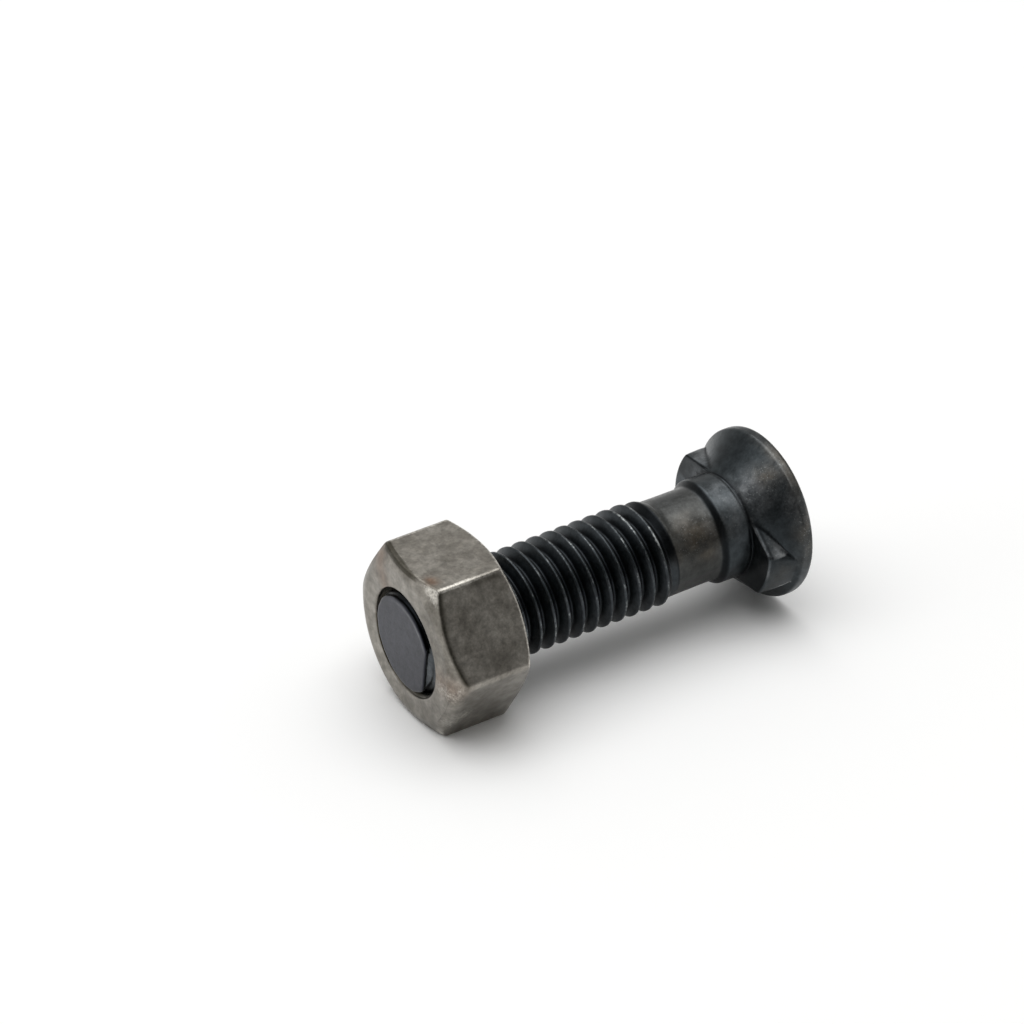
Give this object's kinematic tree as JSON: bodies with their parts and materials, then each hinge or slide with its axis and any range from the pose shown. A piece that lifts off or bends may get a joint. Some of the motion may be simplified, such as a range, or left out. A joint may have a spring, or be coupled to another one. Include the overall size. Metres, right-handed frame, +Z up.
{
  "type": "plow bolt",
  "caption": "Flat countersunk plow bolt with opposed anti-turn nibs under its head, a collar, plain shank, rolled coarse thread and a chamfered hex nut.",
  "frame": {"origin": "on the surface that the bolt lies on, under the middle of its length", "axes": "+X from the nut to the head, close to the bolt's own axis, which the larger head lifts by 0.31 degrees; +Z up"},
  "size_m": [0.0388, 0.0184, 0.0164],
  "materials": {
    "black_steel": "satin",
    "plain_steel": "satin"
  },
  "bodies": {
    "bolt": {"plow_bolt": "black_steel"},
    "nut": {"hex_nut": "plain_steel"}
  },
  "joints": [
    {"name": "nut_travel", "type": "slide", "parent": "bolt", "child": "nut", "axis": [1, 0, 0.0053], "range_m": [-0.0075, 0.015]}
  ]
}
